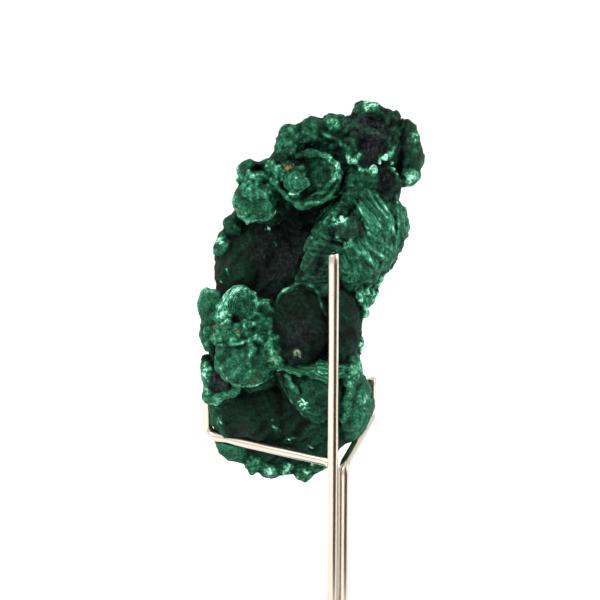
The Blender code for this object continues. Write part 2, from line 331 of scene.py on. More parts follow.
BODY = [
    velvet(-4, 6, 6, 12.6, 9, 13.6, 0.08),
    velvet(2, 3, -10, 9.2, 12, 13, 0.1),
    speckled(2, -2, 21, 8, 8, 8.6, 0.2),
    speckled(13.6, -5, 26.2, 5.6, 5.4, 6, 0.12),
    speckled(-6, -3, 17.6, 5.2, 5, 5, 0.2),
    velvet(-11, 3, 5, 5.4, 6.4, 9.6, 0.13, turn=12),
]
# a channel carved from the body; its very low tone paints the recess dark, partly the velvet's own
# near-black and partly painted shade
CHANNEL = [
    velvet(-2.2, -10.8, 8.2, 5.6, 9.6, 14, 0.06, turn=42),
]
LOBES = [
    # the broad fibrous fan and its overhanging left edge
    fibrous(11.1, -2, 10.4, 8.4, 10.4, 10.9, 0.4, turn=22, root=UPPER_ROOT),
    fibrous(16.2, -2, 12.6, 4.4, 6.4, 6.4, 0.45, turn=-6, root=UPPER_ROOT),
    fibrous(12.3, -2.6, 5.4, 3.2, 6, 6, 0.44, turn=32, root=UPPER_ROOT),
    fibrous(12, -6, 18, 4.6, 4.4, 3.6, 0.42, turn=40, root=UPPER_ROOT),
    fibrous(6.4, -5.6, 8.4, 4.6, 6.4, 8.4, 0.32, turn=30, root=SIDE_ROOT),
    Ridge([(10.2, -9.6, 18.4, 1), (8.9, -10.4, 15.8, 1.3), (6.9, -11, 13, 1.5),
           (4.9, -11.2, 10.2, 1.6), (3, -10.8, 7.4, 1.6), (2, -9.8, 4.8, 1.5),
           (1.4, -8.8, 2.6, 1.3), (-0.2, -7.6, 1, 1.1), (-2.4, -6.6, -0.6, 0.9)],
          "fibrous", 0.33, root=SIDE_ROOT),
    fibrous(2.8, -5.6, 2.6, 3.2, 4.4, 3.2, 0.28, turn=30, root=SIDE_ROOT),
    fibrous(3.6, -6.2, 1.4, 4.4, 3.8, 3.2, 0.26, root=SIDE_ROOT),
    speckled(8.1, -12.4, 11.6, 2.6, 2.3, 2.4, 0.24),
    crust(12.1, -1.4, -1.2, 2.2, 3.6, 3.2, 0.58),
    crust(10.1, -1, -6.4, 1.5, 3.4, 3.4, 0.4),
    velvet(9.9, 0, -11, 1.7, 3.6, 3.4, 0.22),
    # the leaf
    Bowl(3.8, -4.6, -17.4, 5.9, 6.9, -2.6, 1.6, 0.4, turn=-10, nod=6, skin="velvet", tone=0.28),
    velvet(4.2, -1.4, -18.6, 6, 5.4, 6.6, 0.24, turn=-14),
    # dark petals in the middle
    velvet(7.4, -4, -6.6, 3.9, 6, 8.4, 0.14),
    velvet(7.9, -5.2, -10.2, 3.1, 4.6, 4.4, 0.15, turn=10, rim=0.15),
    speckled(0.8, -5.4, -6.4, 5.7, 5.6, 7.8, 0.06, turn=-8),
    speckled(-0.4, -7.4, -12.4, 2.8, 2.6, 2.2, 0.1),
    # the ledge and the right lobe below them
    Ridge([(-3.4, -7.4, -14.6, 0.5), (-0.6, -7.6, -15, 1.1), (2.6, -7.6, -15.3, 1.6),
           (5.4, -8.3, -15.5, 1.8), (8, -7.1, -15.4, 1.8)],
          "fibrous", 0.44, root=(-16, -7, -11.5)),
    speckled(9.5, -4.6, -15.2, 2.5, 3.8, 3.4, 0.54),
    Ridge([(9.2, -6.6, -16.8, 1.5), (9.6, -6, -19.4, 1.2), (9.4, -5.2, -22.4, 0.9),
           (8.4, -4.4, -25.2, 0.5)], "velvet", 0.48),
    Ridge([(-2.6, -7, -16.4, 0.6), (-1.1, -7.4, -18, 0.6), (-0.4, -7.6, -19.6, 0.5)],
          "velvet", 0.4),
    velvet(10.6, 0.4, -21.8, 3.6, 6.4, 6, 0.42),
    velvet(9.4, 6.4, -23.4, 4.2, 7, 6.6, 0.44),
    velvet(3.8, 5, -26, 5.6, 6, 7.6, 0.24),
    # the dark dome and the fringe under it
    velvet(-6, 10.5, -22, 11.6, 9.5, 9.8, 0.15),
    velvet(-12.4, 11, -23.6, 5.8, 6.6, 6.2, 0.3),
    velvet(2.5, 7, -22, 9, 8, 10.2, 0.13),
    velvet(-12.8, 12.2, -30.4, 4.7, 4, 4.2, 0.38, rim=0.2),
    velvet(-3, 12, -31, 8.4, 4.6, 4.2, 0.26),
    speckled(-8.9, 12, -34, 2.5, 2.8, 2.7, 0.4),
    speckled(-6, 12, -35.4, 2.4, 2.8, 2.4, 0.42),
    speckled(-2.8, 12, -35.1, 2.4, 2.8, 2.3, 0.44),
    speckled(0.6, 12, -35.7, 2.5, 2.8, 2.5, 0.44),
    speckled(3.6, 11.5, -34.4, 2.4, 2.8, 2.5, 0.42),
    # left edge nubs
    crust(-14.6, 0.6, 8.6, 2, 2.6, 2.4, 0.36),
    speckled(-15.2, 0, 9.4, 0.9, 1.4, 0.9, 0.7),
    speckled(-12.9, 0, 12.4, 2.2, 3, 2.4, 0.22),
    # the rose: knobs over a curled cup
    crust(-2, -7.8, 26.6, 2.7, 3.2, 3.1, 0.38),
    crust(-1, -7.8, 28.7, 2.9, 3, 2.6, 0.36),
    crust(-3.2, -7.6, 24.6, 2, 2.4, 2, 0.34),
    crust(-1.4, -9.4, 26.2, 2.2, 2.2, 1.5, 0.3),
    crust(2, -7.8, 29.8, 3.2, 3, 2.6, 0.3),
    crust(6.6, -7.4, 30.9, 3.2, 2.8, 2.3, 0.34, turn=8),
    crust(4.4, -7.6, 28.4, 4, 3, 2.6, 0.26, turn=16),
    Bowl(3.7, -8.2, 23.2, 6, 5.6, 1.6, 1.4, 0.8, turn=10, nod=4, wave=0.4, waves=3, phase=1,
         skin="speckled", tone=0.3, rim=0.35),
    Bowl(1.8, -10, 20.8, 5.4, 4.9, 2.4, 1.3, 0.5, turn=-20, nod=-8, wave=0.4, waves=2,
         phase=2, skin="velvet", tone=0.36),
    Ridge([(0.9, -10, 25, 0.5), (3.4, -10.8, 25.6, 0.6), (5.8, -11, 24.8, 0.65),
           (6.9, -11, 22.6, 0.6), (6.4, -11.2, 20.4, 0.5), (4.4, -11.2, 18.4, 0.45),
           (2.2, -10.8, 17.2, 0.4)], "velvet", 0.36),
    smooth(-0.6, -11.2, 19.9, 2.2, 1.3, 1.9, 0.38, rim=0.2, bands=0.6),
    crust(-1, -9.6, 22.4, 2.4, 1.8, 1.4, 0.4),
    crust(-2, -10.4, 22.9, 1.3, 0.9, 0.7, 0.3),
    crust(-4.8, -8.4, 22.8, 1.8, 2.2, 1.9, 0.42),
    crust(-4.5, -8.8, 20.4, 1.6, 2, 1.6, 0.4),
    crust(-3, -9.2, 21.6, 1.3, 1.6, 1.2, 0.42),
    # the left knob and the folded one above it
    velvet(-8.3, -7.2, 17, 4.3, 3.6, 4.2, 0.4, rim=0.25),
    crust(-8.3, -8.6, 18.4, 3.5, 2.8, 2.6, 0.4),
    Ridge([(-11.4, -8.2, 20.6, 0.8), (-9.2, -9.4, 21.4, 0.8), (-6.6, -9.6, 21.2, 0.7)],
          "speckled", 0.5),
    velvet(-9.6, -6.2, 22.4, 2.3, 2.6, 2.3, 0.32, rim=0.4),
    velvet(-6.8, -6.6, 22.8, 1.7, 2.2, 1.8, 0.3, rim=0.3),
    # the crown
    crust(13.2, -8, 33.2, 3.2, 3.8, 2.3, 0.26, turn=10),
    crust(15.9, -7.4, 32.1, 2.7, 3.4, 2, 0.22, turn=25),
    crust(17, -7, 30.3, 2.8, 3.4, 2.4, 0.2, turn=20),
    crust(11.4, -7.6, 31.6, 1.8, 2.8, 2.4, 0.24),
    crust(17, -7.4, 27.4, 2, 3.2, 4.4, 0.16),
    crust(10.2, -7.8, 27, 2.2, 3, 3.8, 0.2),
    Ridge([(8.4, -9.6, 30.4, 0.9), (10.6, -10.6, 30.9, 1), (13, -11, 30, 1.1),
           (15.6, -10.8, 28.4, 0.9)], "speckled", 0.24),
    crust(12.4, -8.4, 20.8, 3.6, 3.2, 2.4, 0.24),
    crust(16.2, -7.4, 20.6, 2.9, 3.4, 3.9, 0.16),
    velvet(20.7, -4.6, 26.4, 2.6, 5.2, 6.4, 0.2, turn=-3, rim=0.3),
    velvet(20.9, -6.2, 21.8, 2, 3, 2, 0.46),
    # the flower
    Bowl(-17.1, -1.8, -3.8, 2.2, 3.1, -1, 1.7, 0.55, turn=-12, swing=-22,
         skin="velvet", tone=0.38, rim=0.2),
    Bowl(-11.1, -4.8, -2.9, 2.8, 2.9, 0.6, 1.6, 0.5, turn=-12, nod=4,
         skin="velvet", tone=0.4, rim=0.18, bands=0.9),
    Bowl(-6.8, -4.6, -3.9, 1.4, 1.7, 0.4, 1.3, 0.4, turn=10, swing=12,
         skin="velvet", tone=0.36, rim=0.3, bands=0.9),
    velvet(-14.4, -3.2, -4.4, 2.4, 2.2, 3, 0.5, turn=20, bands=0.8),
    speckled(-9, 3, -10, 9, 8.5, 10, 0.3),
    crust(-5.8, -3.8, -8.2, 4.2, 3.2, 3.2, 0.46),
    crust(-16.6, -1, -8.8, 2.5, 3, 3.2, 0.36),
    crust(-12.2, -4.4, -7.6, 4.2, 3, 2.4, 0.4),
    crust(-10.4, -4.8, -9.4, 6.2, 3.2, 2.4, 0.42),
    crust(-5.6, -5, -10.6, 3.6, 3.2, 2.8, 0.46),
    velvet(-7, -5.4, -13.4, 2.8, 3.2, 3.4, 0.4),
    velvet(-10.5, -4.4, -13.8, 5.7, 4.6, 4.7, 0.39, rim=0.2),
    velvet(-14, -4.6, -12, 2.4, 3.4, 2.4, 0.36),
    Ridge([(-9.7, -7.4, -10, 0.7), (-9.3, -8.3, -11.8, 0.9), (-9.3, -8.3, -14.6, 0.6)],
          "velvet", 0.44),
    crust(-4.9, -6.8, -12.8, 2.4, 2.3, 2.4, 0.42),
    crust(-2.3, -6.6, -13.5, 1.1, 1.5, 0.9, 0.42),
    velvet(-15.4, 1.8, -17.4, 3.4, 4.4, 4, 0.2, turn=-20),
    Ridge([(-17.8, -0.2, -13.6, 1), (-17.8, -0.6, -15.4, 1.5), (-17.7, -0.6, -18.4, 1.5),
           (-17.6, -0.4, -20.4, 1.1)], "speckled", 0.46),
    Ridge([(-17.6, -0.4, -20.6, 0.9), (-16.2, -1.2, -21.2, 0.9), (-14.4, -1.4, -20.5, 0.9),
           (-12.4, -1.4, -19.1, 0.9)], "velvet", 0.46),
    velvet(-18.3, 0.2, -13.2, 1, 1.4, 1, 0.16),
]
LOBES += beads([(-7.3, -5.6, -7.2, 1), (-5.4, -5.6, -7.6, 1), (-3.7, -5.4, -7.6, 0.9),
                (-6.2, -6, -9.2, 1), (-4.3, -6, -9.5, 1), (-8, -5.8, -8.8, 0.8),
                (-3, -5.6, -9.6, 0.7)], "crust", 0.5)
LOBES += beads([(12.8, -2.6, -1.9, 1.4), (14, -1.8, 0, 1.2), (13, -3.4, 1.6, 1.1),
                (15, -2.2, 1.9, 1), (12, -2.6, -4.3, 1), (16.2, -2.4, 4.2, 1),
                (14.7, -3.6, 3.7, 1), (17.6, -2.2, 6.1, 0.9), (18.8, -2, 8, 0.8),
                (11.6, -3, -0.2, 1), (11.4, -1.4, -10.6, 1.1)], "crust", 0.6)
LOBES += beads([(10.3, -10.2, 27.7, 0.6), (9.9, -10.1, 26.4, 0.5), (10.7, -10.4, 25.4, 0.55),
                (10.1, -10.3, 24, 0.75), (11.2, -10.5, 23.1, 0.42), (12.1, -10.6, 22.6, 0.48),
                (12.9, -10.7, 22.4, 0.38), (14.1, -10.8, 22.6, 0.75), (15, -10.6, 23.7, 0.42),
                (16, -10.7, 24.9, 0.8), (17.1, -10.4, 25.6, 0.55), (15, -10.6, 24.7, 0.36),
                (9.4, -10, 25, 0.5), (9.2, -10, 23.6, 0.5)],
               "smooth", 0.68)
LOBES += beads([(12.9, -11.4, 30.2, 0.6), (11.6, -10.6, 27.4, 0.45), (16.4, -10.6, 28.2, 0.5),
                (17.4, -10.2, 26.6, 0.45), (17.7, -10, 24, 0.45), (17.7, -10, 22.8, 0.45),
                (17.6, -10, 21.7, 0.4)], "smooth", 0.68)
BACK = [
    velvet(-3, 11, 4, 9, 7, 9, 0.2),
    velvet(8, 7, 11, 8, 6, 7.6, 0.2),
    velvet(0.5, 4.5, 20, 7, 6, 7, 0.18),
    velvet(12.5, 3, 22.5, 6.4, 5, 7, 0.2),
    velvet(-6, 13, -9, 8, 7, 8, 0.18),
    velvet(4.6, 12, -6, 6.6, 7, 8, 0.2),
    velvet(1, 16.5, -20, 8, 6, 8, 0.2),
    velvet(-8, 16, -24, 5, 4, 5, 0.22),
    velvet(6.6, 15, -23, 4.6, 5, 5.6, 0.22),
    speckled(-8.6, 13.4, 9.6, 5.2, 4.2, 3.8, 0.34, turn=30),
    velvet(-1.4, 15.4, 10.6, 5, 3.4, 3.4, 0.3, turn=-20),
    velvet(4, 13.8, 4, 3.4, 4, 5.4, 0.26, turn=25),
    velvet(-7.4, 16.2, -1.4, 3.2, 3.8, 4.8, 0.32, turn=-15),
    speckled(0, 16.6, -2.6, 4.8, 3.6, 3.4, 0.34, turn=10),
    velvet(9.4, 10.6, 14.4, 5.4, 3.6, 4, 0.3, turn=-25),
    fibrous(12.8, 7.2, 6.2, 3, 4.2, 4.8, 0.36, turn=20, root=(2, 6, 14)),
    velvet(3, 8.8, 18.6, 5, 3.6, 3.4, 0.28, turn=-10),
    crust(-4.4, 7.4, 21, 3.4, 3.6, 4.2, 0.36, turn=15),
    crust(7.2, 6.6, 24.4, 4.8, 3.6, 3.4, 0.34, turn=20),
    velvet(10.3, 17.1, -22.4, 4.7, 4.5, 4.8, 0.26, turn=10),
    velvet(13.4, 5, 26.6, 3.4, 3.4, 4.8, 0.26, turn=-10),
    velvet(16.4, 4.2, 19, 3, 4, 4.4, 0.3, turn=8),
    speckled(-11.4, 14, -8, 3.4, 4.2, 5.2, 0.34, turn=-12),
    velvet(-4.8, 17.6, -13.4, 5.2, 3.6, 3.8, 0.26, turn=18),
    velvet(4.4, 17, -11.4, 3.6, 3.8, 5, 0.3, turn=-22),
    crust(8.4, 13, -13, 3, 4, 4.4, 0.38, turn=12),
    speckled(-8.4, 17.6, -20.4, 4.4, 3.4, 3.8, 0.34, turn=-30),
    velvet(0, 20.6, -21.4, 5.2, 3.4, 4, 0.26, turn=10),
    velvet(5.8, 18, -26.4, 3.6, 3.4, 4.4, 0.3, turn=35),
    crust(-3, 18.2, -28.8, 5, 3.4, 3.2, 0.38, turn=-12),
    speckled(-13, 11, 2.6, 3.2, 4, 4.8, 0.3, turn=10),
    velvet(-14, 7.4, -3.4, 3.2, 4, 4.2, 0.3, turn=-18),
]


NODULE_TRIES = 420
NODULE_ALONG_X = (-15.0, 17.0)
NODULE_ALONG_Z = (-33.0, 31.0)


def back_nodules():
    """Small nodules scattered in patches over the back, smaller towards the edge of each patch."""
    rng = np.random.default_rng(7)
    places = np.stack([rng.uniform(*NODULE_ALONG_X, NODULE_TRIES), np.zeros(NODULE_TRIES),
                       rng.uniform(*NODULE_ALONG_Z, NODULE_TRIES)], axis=1)
    patchy = soft_noise(places, 9.0, salt=90) + 0.4 * soft_noise(places, 4.0, salt=91)
    sizes = rng.uniform(0.7, 1.25, NODULE_TRIES)
    depths = np.arange(26.0, -6.0, -0.25)
    nodules = []
    for (x, _, z), amount, size in zip(places, patchy, sizes):
        if amount < 0.05:
            continue
        line = np.stack([np.full_like(depths, x), depths, np.full_like(depths, z)], axis=1)
        hit = np.flatnonzero(np.min([shape.distance(line) for shape in BACK], axis=0) < 0.0)
        if len(hit):
            radius = size * (0.8 + 0.9 * min(amount, 0.8))
            nodules.append((x, depths[hit[0]] - 0.35 * radius, z, radius))
    return beads(nodules, "speckled", 0.4)


BACK += back_nodules()

# Hollows that are cut after everything has grown together. Their low tones paint the hollows' walls
# dark, a painted shade.
PITS = [
    crust(13.6, -12, 26.5, 2.9, 2.8, 2.4, 0.06),
    crust(13.4, -11.9, 31.9, 2.1, 1.6, 0.7, 0.06),
    crust(16.2, -11, 20.4, 1.5, 1.6, 2.3, 0.08),
    speckled(-1, -11, 24.3, 1.7, 2, 0.7, 0.05),
    velvet(-7.9, -9.2, 22.7, 1.1, 1.8, 0.9, 0.05),
    velvet(-6.9, -11.4, 19.9, 0.5, 1.6, 0.6, 0.03),
    velvet(-11.9, -6.6, -5.6, 0.6, 1.6, 1.1, 0.06),
    speckled(-15.2, -3, -17.4, 1.3, 1.3, 2.4, 0.14),
    velvet(-19.5, -1, -11.7, 1.6, 3, 0.45, 0.2),
]

# Thin raised lines on the front: width, height, lightening, then x and z of each point. The lightening
# along lips, rims and folds is painted sheen and highlight, the dark lines in the fan's folds are
# painted shade, and the tufts are pale fibres of the stone's own colour.
VEINS = [
    # the lip of the fan
    (0.35, 0.15, 0.16, 9.4, 19, 7.5, 16.4, 5.3, 13.7, 3, 10.9, 0.6, 7.9, -0.7, 5.6, -0.9, 3.4,
     -1.4, 1.9, -2.8, 0.4, -4, -1),
    # folds in the fan: raised lines painted lighter and grooves painted darker, a painted light and
    # shade
    (0.3, 0.3, 0.3, 9.8, 19.5, 11.7, 17, 13.6, 14, 15.1, 11.7),
    (0.3, 0.3, 0.25, 11.2, 20, 13.4, 17.6, 15.6, 14.6, 17.6, 11),
    (0.32, 0.3, 0.28, 14, 18.6, 16, 16, 17.6, 12.6, 18.4, 9),
    (0.3, 0.25, 0.3, 18.2, 18, 18.8, 14, 18.6, 10),
    (0.3, 0.25, 0.2, 10.4, 16.2, 11.8, 13.6, 12.6, 10.6),
    (0.35, 0.25, 0.25, 11.6, 9.4, 14, 7.4, 16.6, 5.6),
    (0.35, 0.25, 0.2, 10.6, 8.6, 12.8, 5.8, 15, 3.6),
    (0.3, 0.25, 0.25, 12.6, 10.4, 15.4, 9, 18.2, 7.2),
    (0.28, -0.45, -0.35, 10.4, 18.6, 12.6, 15.6, 14.2, 12.8),
    (0.28, -0.4, -0.3, 12.4, 18.6, 14.6, 16, 16.4, 12.8),
    (0.28, -0.35, -0.3, 16.6, 17.6, 17.8, 14, 18.2, 11),
    (0.26, -0.35, -0.25, 9.6, 16.8, 11, 14.4, 11.8, 12.2),
    (0.26, -0.3, -0.25, 11.8, 8.2, 14.2, 6, 16, 4.6),
    (0.26, -0.25, -0.15, 3, 5, 5, 4.4, 6.8, 4.2),
    (0.26, -0.25, -0.12, 2.6, 7.2, 4.8, 6.6, 7, 6.2),
    (0.26, -0.2, -0.12, 4.2, 9.4, 6, 8.8, 8, 8.6),
    # the knob on the fan: a pale arc, a painted highlight
    (0.3, 0.25, 0.45, 6.6, 9.7, 8.4, 8.7, 9.9, 9.4),
    # the dark petal's upper rim
    (0.24, 0.12, 0.4, -4.6, -3, -4, -1.1, -2.6, 0.2, -0.75, 1.1, 1.1, 1.1, 2.8, 0.2, 3.6, -1.1, 4.2, -3,
     4.9, -4.7),
    (0.28, 0.15, 0.14, 7.8, -5, 9.4, -5.6, 10.8, -4.8),
    # the leaf's edge
    (0.22, 0.12, 0.32, -4.3, -16.1, -2.9, -19.6, -1.1, -22.6, 0.9, -24.6, 2.8, -25.4, 5.3, -25.8),
    # the cup of the flower: top edge, lower rim, inner arc
    (0.3, 0.25, 0.3, -16.2, -10.4, -13.2, -10.4, -11.3, -10.3, -9.4, -9.4, -7.9, -9),
    (0.22, 0.14, 0.42, -16.2, -12.9, -15.2, -14.7, -14.6, -16.1, -13.2, -17.6, -11.7, -18.3,
     -10.2, -18.6, -8.7, -18.4, -6.4, -17.5, -4.7, -16, -3.8, -15.1),
    (0.25, 0.15, 0.25, -9.8, -15.6, -8.3, -15.2, -6.8, -15.8),
    # the middle petal's rim and the bands beside it
    (0.2, 0.08, 0.28, -15.4, -3.8, -14.4, -1.6, -12.6, -0.2, -10.6, 0.3, -9, -0.2, -8.1, -1.6,
     -8, -3.2),
    (0.18, 0.08, 0.3, -15.9, -5.4, -15.6, -3.4, -14.7, -1.9),
    (0.18, 0.08, 0.34, -15.1, -5.6, -14.9, -3.8, -14.1, -2.2),
    (0.18, 0.08, 0.28, -14.2, -5.8, -14.1, -4.4, -13.5, -3),
    (0.18, 0.08, 0.2, -8.6, -4.4, -8.3, -2.6, -7, -1.7, -5.6, -2.3),
    (0.2, 0.08, 0.3, -17.2, -22.1, -15.6, -22.5, -13.4, -21.5, -11.2, -19.8),
    # tufts of pale fibres on the leaf, on the dome and in the channel
    (0.16, 0.1, 0.8, -0.4, -21.4, 0.1, -21.3, 0.4, -20.8, 0.8, -21.4),
    (0.16, 0.1, 0.8, 0, -22.1, 0.4, -21.8, 0.9, -22, 1.3, -21.4),
    (0.16, 0.1, 0.8, 0.5, -22.9, 0.9, -22.5, 1.3, -22.8, 1.7, -22.4),
    (0.2, 0.1, 0.8, 1.3, -23.1, 2.1, -23.4),
    (0.18, 0.1, 0.8, -5.2, -26.6, -4.7, -27.1, -4.2, -27),
    (0.16, 0.1, 0.7, -4.9, -27.7, -4.4, -27.3, -3.8, -27.6),
    (0.18, 0.1, 0.8, -2.9, -29.4, -2.2, -29.3, -1.6, -28.8, -0.8, -28.8),
    (0.16, 0.1, 0.7, -2.6, -28.9, -2.3, -29.5, -1.8, -29.9),
    (0.18, 0.1, 0.7, -3.3, -29.8, -2.6, -30.2),
    (0.18, 0.1, 0.8, 1.6, -30.3, 2.5, -30.8),
    (0.18, 0.1, 0.6, -16.2, -25.4, -15.6, -26.5),
    (0.18, 0.1, 1.2, -6.2, 12.3, -5.7, 11.8, -5.9, 11.1, -5.3, 10.7),
    (0.16, 0.1, 1, -6.6, 11.8, -5.8, 11.9),
    (0.18, 0.1, 1.2, -4, 12.6, -3.7, 12.1, -3, 12.3, -2.9, 11.8),
    (0.18, 0.1, 1.1, -3.9, 11.5, -3.4, 11.7, -3.1, 11),
    (0.16, 0.1, 0.9, -5.2, 9.2, -4.8, 9, -4.6, 8.6),
    (0.16, 0.1, 0.9, -14.1, 4, -13.9, 3.5, -13.8, 3),
    (0.16, 0.1, 0.7, -15.4, 1.8, -15.2, 1.4),
    # the rose's cup: outer and inner rims
    (0.28, 0.06, 0.14, -3.9, 18.4, -1.9, 16.9, 0.9, 16.1, 3.8, 16.5, 6, 18.2, 6.8, 20),
    (0.28, 0.06, 0.12, 0.9, 25.6, 3.8, 26.1, 6.2, 25.4, 7.2, 23.1, 6.5, 20.9, 4.3, 18.9, 2.1, 17.7),
    # the left knob's lower rim and the rose's outer arc
    (0.3, 0.15, 0.3, -12.2, 14.3, -10.4, 13.3, -7.7, 13, -5.5, 13.7, -4.2, 15),
    (0.35, 0.35, 0.3, 4.3, 29.2, 7.3, 28.2, 9, 26.5, 9.3, 24.4),
    (0.28, 0.2, 0.6, -2, 18, -0.8, 17.5, 0.4, 17.7),
]


def vein_field(points):
    """How strongly the front's thin lines pass each point, as height and as lightening. The lightening
    is mostly painted sheen along rims and folds.
    """
    height = np.zeros(len(points))
    light = np.zeros(len(points))
    front = points[:, 1] < 1.0 - 0.26 * points[:, 2]
    near = points[front]
    flat = near[:, [0, 2]] + 0.12 * np.stack([soft_noise(near, 1.9, salt) for salt in (71, 72)], axis=1)
    rise_here = np.zeros(len(flat))
    light_here = np.zeros(len(flat))
    for width, rise, pale, *line in VEINS:
        best = np.full(len(flat), NOWHERE)
        for away, _ in stretches_of(flat, np.reshape(line, (-1, 2))):
            best = np.minimum(best, away)
        amount = np.exp(-((best / width) ** 2))
        rise_here += rise * amount
        light_here += pale * amount
    height[front] = rise_here
    light[front] = light_here * np.clip(0.85 + 1.1 * soft_noise(near, 0.8, 73), 0.15, 1.5)
    return height, light


SWELL_SIZE = 4.4
FINE_SIZE = 1.3
FIBRE_SIZE = 1.7
FIBRE_SPREAD = 60.0
GROWN = BODY + CHANNEL + LOBES + BACK + PITS


def box_of(shape, axes, margin):
    """The slices of the grid that a shape can touch."""
    spans = []
    for axis, coordinates in enumerate(axes):
        low = shape.centre[axis] - shape.reach - margin
        high = shape.centre[axis] + shape.reach + margin
        spans.append(slice(max(int(np.searchsorted(coordinates, low)), 0),
                           min(int(np.searchsorted(coordinates, high)), len(coordinates))))
    return tuple(spans)


def joined(first, second, blend):
    """The two distances joined with a small fillet."""
    share = np.clip(0.5 + 0.5 * (second - first) / blend, 0.0, 1.0)
    return second + (first - second) * share - blend * share * (1.0 - share)


def blend_of(shape):
    if shape.centre[1] > 4.0 and shape.reach > 2.8:
        return BACK_BLEND
    if shape.skin == "crust" and shape.reach > 1.6:
        return CRUST_BLEND
    return SHARP_BLEND if isinstance(shape, (Bowl, Ridge)) else KNOB_BLEND


def grow(field, place, shapes, axes):
    """Join the shapes to the field one by one; a bowl first clears the space in front of it."""
    for shape in shapes:
        spans = box_of(shape, axes, SHAPE_MARGIN)
        if shape.scoop is not None:
            field[spans] = np.maximum(field[spans], -shape.scoop(place[spans]))
        field[spans] = joined(field[spans], shape.distance(place[spans]), blend_of(shape))


def carve(field, place, shapes, axes, margin=SHAPE_MARGIN):
    for shape in shapes:
        spans = box_of(shape, axes, margin)
        field[spans] = np.maximum(field[spans], -shape.distance(place[spans]))


def owners_of(points):
    """For each point the shape whose skin it lies on, and how near the next shape's skin is."""
    best = np.full(len(points), NOWHERE)
    second = np.full(len(points), NOWHERE)
    owner = np.zeros(len(points), dtype=int)
    for number, shape in enumerate(GROWN):
        near = np.flatnonzero(np.linalg.norm(points - shape.centre, axis=1) < shape.reach + 3.0)
        away = np.abs(shape.distance(points[near]))
        closer = away < best[near]
        second[near] = np.where(closer, best[near], np.minimum(second[near], away))
        owner[near] = np.where(closer, number, owner[near])
        best[near] = np.where(closer, away, best[near])
    return owner, second - best


def skin_of(points, owner):
    """How far the skin stands out at each point, how its crests run, and the fibre direction."""
    rise = np.zeros(len(points))
    crest = np.zeros(len(points))
    swell = layered_noise(points, SWELL_SIZE, 2, salt=1)
    fine = layered_noise(points, FINE_SIZE, 2, salt=5)
    skins = np.array([SKIN_NAMES.index(shape.skin) for shape in GROWN])[owner]
    ray = points - np.array([shape.root for shape in GROWN])[owner]
    ray /= np.maximum(np.linalg.norm(ray, axis=1), 1e-3)[:, None]
    for number, name in enumerate(SKIN_NAMES):
        chosen = skins == number
        if not chosen.any():
            continue
        skin = SKINS[name]
        near, label = nearest_seeds(points[chosen], skin["nodule"], salt=number * 20)
        dome = (np.sqrt(np.clip(1.0 - near**2, 0.0, 1.0)) - 0.6) * (0.5 + label)
        streak = layered_noise(ray[chosen] * FIBRE_SPREAD, FIBRE_SIZE, 2, salt=7)
        crest[chosen] = (skin["fine"] * fine[chosen] + skin["height"] * dome
                         + skin["fibre"] * streak)
        rise[chosen] = (skin["swell"] * swell[chosen] + skin["fine"] * fine[chosen]
                        + skin["height"] * dome + skin["fibre"] * streak)
    return rise, crest, ray


def wire_routes():
    """The wires' centre lines as corner points in metres, read from the boxes of their nodes."""
    radius = WIRE_RADIUS
    left_low, left_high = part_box("left_arm")
    right_low, right_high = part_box("right_arm")
    arm_z = left_high[2] - HOOK_HEIGHT
    routes = {"back_post": [Vector((POST_X, POST_Y, z)) for z in (POST_LOW[2], POST_TOP)]}
    for name, low, high, stem_x, hook_x in (
            ("left_arm", left_low, left_high, left_high[0] - radius, left_low[0] + radius),
            ("right_arm", right_low, right_high, right_low[0] + radius, right_high[0] - radius)):
        stem = (stem_x, low[1] + radius)
        hook = (hook_x, high[1] - radius)
        routes[name] = [Vector((*stem, low[2])), Vector((*stem, arm_z)), Vector((*hook, arm_z)),
                        Vector((*hook, arm_z + HOOK_HEIGHT))]
    return routes


def to_world(points):
    return points * MM @ np.array(STONE_TURN).T + np.array(STONE_CENTRE)


def to_stone(points):
    return (np.array(points) - np.array(STONE_CENTRE)) @ np.array(STONE_TURN) / MM


def grown_field(step, side):
    """The stone's field on a grid; side is -1 for the front half and 1 for the back half."""
    low, high = np.array(GRID_LOW), np.array(GRID_HIGH)
    if side < 0:
        high[1] = FRONT_GRID_BACK
    else:
        low[1] = BACK_GRID_FRONT
    axes = [np.arange(first, last, step) for first, last in zip(low, high)]
    grid = np.stack(np.meshgrid(*axes, indexing="ij"), axis=-1)
    place = warped(grid)
    field = np.full(grid.shape[:-1], FAR)
    grow(field, place, BODY, axes)
    carve(field, place, CHANNEL, axes)
    grow(field, place, LOBES + BACK, axes)
    carve(field, place, PITS, axes)
    band = np.abs(field) < SKIN_BAND
    points = grid[band]
    owner, _ = owners_of(place[band])
    rise, _, _ = skin_of(points, owner)
    field[band] -= rise + vein_field(points)[0]
    split = SPLIT_PLACE - SPLIT_SLOPE * grid[..., 2] - grid[..., 1]
    field = np.maximum(field, side * split - SPLIT_OVERLAP)
    clearances = [Ridge([(*corner, WIRE_RADIUS / MM + WIRE_GAP) for corner in to_stone(route)])
                  for route in wire_routes().values()]
    carve(field, grid, clearances, axes, margin=1.0)
    return field, axes


CORNERS = [(i & 1, i >> 1 & 1, i >> 2 & 1) for i in range(8)]
CELL_EDGES = [(a, b) for a in range(8) for b in range(a + 1, 8) if bin(a ^ b).count("1") == 1]


